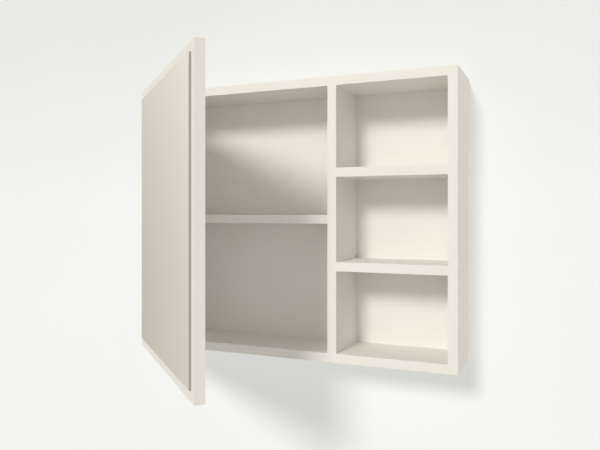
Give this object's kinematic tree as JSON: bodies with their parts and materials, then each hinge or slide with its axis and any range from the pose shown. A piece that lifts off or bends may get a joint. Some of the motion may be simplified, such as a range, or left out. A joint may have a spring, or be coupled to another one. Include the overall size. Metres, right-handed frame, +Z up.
{
  "type": "mirrored medicine cabinet",
  "caption": "Wall-hung cabinet in cream lacquer: a shelved bay behind a full-height mirrored door on concealed hinges, beside an open bay of niches.",
  "frame": {"origin": "middle of the back, on the wall plane, at half the cabinet's height", "axes": "+Z up, +Y into the wall, +X to the right seen from the front; the front faces -Y"},
  "size_m": [0.6842, 0.4737, 0.56],
  "materials": {
    "lacquer": "matt cream lacquer on fibreboard",
    "back_lacquer": "matt cream lacquer on thin hardboard",
    "dowel_wood": "bare beech",
    "zinc_screws": "bright zinc",
    "zinc_plate": "bright zinc",
    "nickel_steel": "nickel plated",
    "hardened_pins": "ground",
    "mirror_glass": "silvered float glass with a ground arris",
    "mirror_adhesive": "set adhesive",
    "clear_silicone": "clear soft silicone"
  },
  "bodies": {
    "carcass": {"left_side_panel": "lacquer", "right_side_panel": "lacquer", "top_panel": "lacquer", "bottom_panel": "lacquer", "divider_panel": "lacquer", "upper_niche_shelf": "lacquer", "lower_niche_shelf": "lacquer", "adjustable_shelf": "lacquer", "back_panel": "back_lacquer", "carcass_dowels": "dowel_wood", "divider_dowels": "dowel_wood", "niche_shelf_dowels": "dowel_wood", "back_panel_screws": "zinc_screws", "shelf_pins": "nickel_steel", "hanger_plates": "zinc_plate", "hanger_plate_screws": "zinc_screws", "hinge_mounting_plates": "nickel_steel", "hinge_plate_screws": "nickel_steel", "hinge_arms": "nickel_steel", "hinge_arm_screws": "nickel_steel", "hinge_arm_pins": "hardened_pins"},
    "main_links": {"hinge_main_links": "nickel_steel"},
    "door": {"door_panel": "lacquer", "mirror_pane": "mirror_glass", "mirror_adhesive_strips": "mirror_adhesive", "hinge_cups": "nickel_steel", "hinge_cup_pins": "hardened_pins", "hinge_cup_screws": "nickel_steel", "door_bumpers": "clear_silicone"},
    "guide_links": {"hinge_guide_links": "nickel_steel"}
  },
  "joints": [
    {"name": "door_swing", "type": "hinge", "parent": "main_links", "child": "door", "pos_m": [-0.32747, -0.14182, 0], "axis": [0, 0, -1], "range_deg": [-60.62, 72.38]},
    {"name": "main_link_turn", "type": "hinge", "parent": "carcass", "child": "main_links", "pos_m": [-0.3155, -0.1295, 0], "axis": [0, 0, 1], "range_deg": [-17.33, 20.69]},
    {"name": "guide_link_turn", "type": "hinge", "parent": "door", "child": "guide_links", "pos_m": [-0.32369, -0.14539, 0], "axis": [0, 0, 1], "range_deg": [-60.9, 72.7]}
  ],
  "couplings": [
    {"joint": "main_link_turn", "follows": "door_swing", "ratio": 0.28571},
    {"joint": "guide_link_turn", "follows": "door_swing", "ratio": 1.0036}
  ]
}
